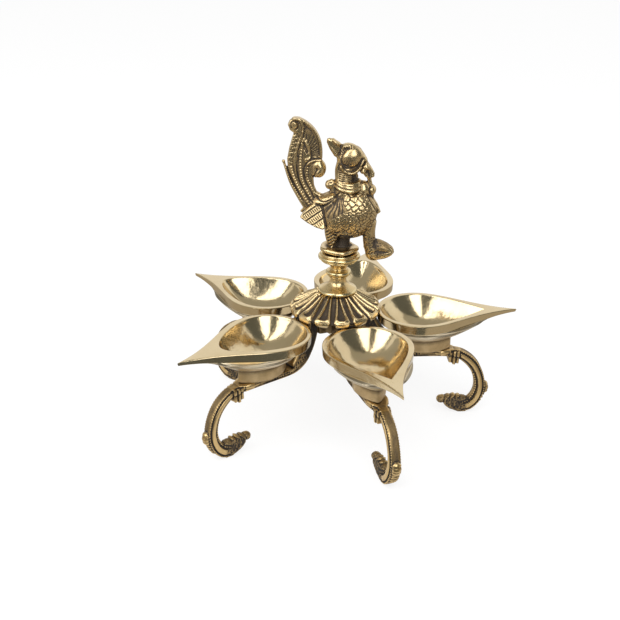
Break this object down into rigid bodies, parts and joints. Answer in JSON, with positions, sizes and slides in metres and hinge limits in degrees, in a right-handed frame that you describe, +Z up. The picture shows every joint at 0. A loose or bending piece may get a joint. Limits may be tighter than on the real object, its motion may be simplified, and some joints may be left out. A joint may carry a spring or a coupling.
{
  "type": "standing oil lamp",
  "caption": "Brass standing diya: spouted leaf-shaped oil bowls on scroll legs round a lotus canopy and turned stem, with a peacock-like bird on top; holds oil and cotton wicks.",
  "frame": {"origin": "middle of the footprint on the floor the five feet stand on", "axes": "+Z up along the stem; +X the way the bird faces"},
  "size_m": [0.1828, 0.1922, 0.1703],
  "materials": {
    "polished_brass": "polished inside and on the rim's band, satin on the foot",
    "golden_brass": "turned and polished",
    "antique_brass": "cast, darkened in the recesses and rubbed bright on the high places",
    "hardware_brass": "plain machined fastener"
  },
  "bodies": {
    "root": {"hub": "antique_brass", "tie_rod": "hardware_brass", "washer": "hardware_brass", "nut": "hardware_brass", "lotus_canopy": "antique_brass", "stem": "golden_brass", "bird": "antique_brass", "leg_1": "antique_brass", "bowl_1": "polished_brass", "bowl_screw_1": "hardware_brass", "leg_2": "antique_brass", "bowl_2": "polished_brass", "bowl_screw_2": "hardware_brass", "leg_3": "antique_brass", "bowl_3": "polished_brass", "bowl_screw_3": "hardware_brass", "leg_4": "antique_brass", "bowl_4": "polished_brass", "bowl_screw_4": "hardware_brass", "leg_5": "antique_brass", "bowl_5": "polished_brass", "bowl_screw_5": "hardware_brass"}
  },
  "joints": []
}
